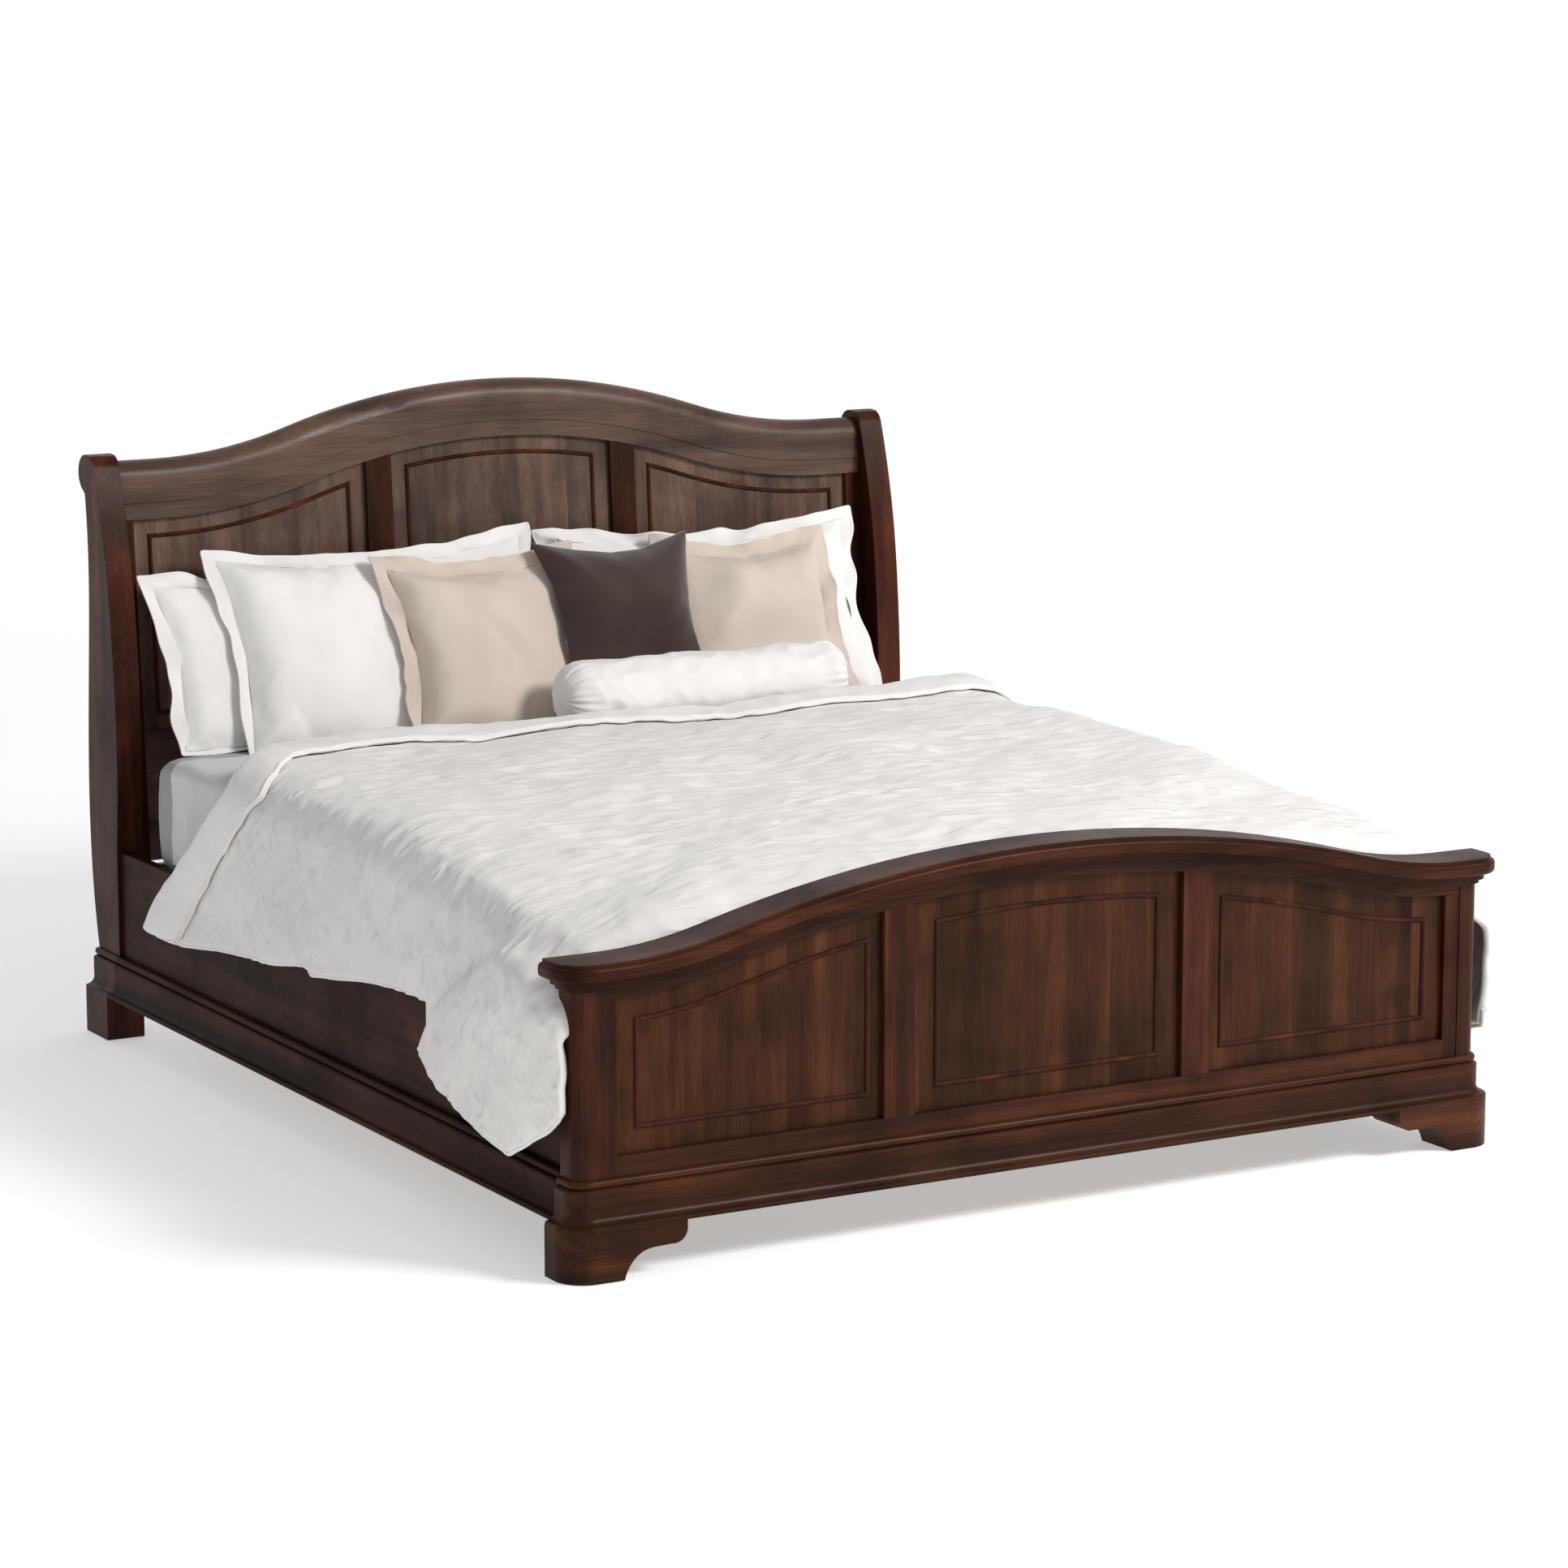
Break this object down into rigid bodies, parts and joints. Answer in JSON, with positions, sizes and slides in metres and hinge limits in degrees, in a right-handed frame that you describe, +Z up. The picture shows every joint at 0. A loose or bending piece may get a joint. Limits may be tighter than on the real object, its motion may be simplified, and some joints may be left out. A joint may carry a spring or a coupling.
{
  "type": "sleigh bed",
  "caption": "King-size sleigh bed in dark cherry wood with arched panelled headboard and footboard, dressed with mattress, duvet, shams, a cushion and a bolster.",
  "frame": {"origin": "on the floor, midway between the sides, below the middle of the overall length", "axes": "+X across the bed, +Y from the footboard to the headboard, +Z up"},
  "size_m": [2.26, 2.4592, 1.413],
  "materials": {
    "cherry_wood": "satin lacquer",
    "panel_wood": "satin lacquer",
    "cap_wood": "satin lacquer",
    "moulding_wood": "satin lacquer",
    "pale_wood": "planed",
    "steel": "zinc plated",
    "glide_steel": "zinc plated",
    "mattress_fabric": "knit",
    "coverlet_fabric": "woven cotton",
    "duvet_fabric": "crinkled cotton",
    "white_fabric": "crinkled cotton",
    "beige_fabric": "brushed cotton",
    "brown_fabric": "brushed cotton"
  },
  "bodies": {
    "frame": {"beam_saddles": "steel", "centre_beam": "pale_wood", "centre_legs": "pale_wood", "foot_bottom_rail": "cherry_wood", "foot_bracket_left": "cherry_wood", "foot_bracket_right": "cherry_wood", "foot_cap": "cap_wood", "foot_cap_moulding": "moulding_wood", "foot_mullion_left": "cherry_wood", "foot_mullion_right": "cherry_wood", "foot_panel_beads": "moulding_wood", "foot_panel_centre": "panel_wood", "foot_panel_left": "panel_wood", "foot_panel_right": "panel_wood", "foot_plinth": "cherry_wood", "foot_post_left": "cherry_wood", "foot_post_right": "cherry_wood", "foot_stile_left": "cherry_wood", "foot_stile_right": "cherry_wood", "foot_top_rail": "cherry_wood", "head_block_left": "cherry_wood", "head_block_right": "cherry_wood", "head_bottom_rail": "cherry_wood", "head_crest_rail": "cap_wood", "head_mullion_left": "cherry_wood", "head_mullion_right": "cherry_wood", "head_panel_beads": "moulding_wood", "head_panel_centre": "panel_wood", "head_panel_left": "panel_wood", "head_panel_right": "panel_wood", "head_post_left": "cherry_wood", "head_post_right": "cherry_wood", "head_stile_left": "cherry_wood", "head_stile_right": "cherry_wood", "head_stretcher": "cherry_wood", "head_top_rail": "cherry_wood", "post_slot_plates": "steel", "rail_hook_plates": "steel", "rail_moulding_left": "cherry_wood", "rail_moulding_right": "cherry_wood", "side_rail_left": "cherry_wood", "side_rail_right": "cherry_wood", "slat_cleat_left": "pale_wood", "slat_cleat_right": "pale_wood", "slats": "pale_wood", "wood_screws": "steel"},
    "bedding": {"beige_sham_left": "beige_fabric", "beige_sham_right": "beige_fabric", "bolster": "white_fabric", "brown_cushion": "brown_fabric", "coverlet": "coverlet_fabric", "duvet": "duvet_fabric", "mattress": "mattress_fabric", "white_sham_back_left": "white_fabric", "white_sham_back_right": "white_fabric", "white_sham_front_left": "white_fabric", "white_sham_front_right": "white_fabric"},
    "glide_foot": {"leveller_foot": "glide_steel"},
    "glide_middle": {"leveller_middle": "glide_steel"},
    "glide_head": {"leveller_head": "glide_steel"}
  },
  "joints": [
    {"name": "mattress_lift", "type": "slide", "parent": "frame", "child": "bedding", "axis": [0, 0, 1], "range_m": [0, 0.35]},
    {"name": "leveller_foot_screw", "type": "slide", "parent": "frame", "child": "glide_foot", "axis": [0, 0, 1], "range_m": [-0.01, 0.012]},
    {"name": "leveller_middle_screw", "type": "slide", "parent": "frame", "child": "glide_middle", "axis": [0, 0, 1], "range_m": [-0.01, 0.012]},
    {"name": "leveller_head_screw", "type": "slide", "parent": "frame", "child": "glide_head", "axis": [0, 0, 1], "range_m": [-0.01, 0.012]}
  ]
}
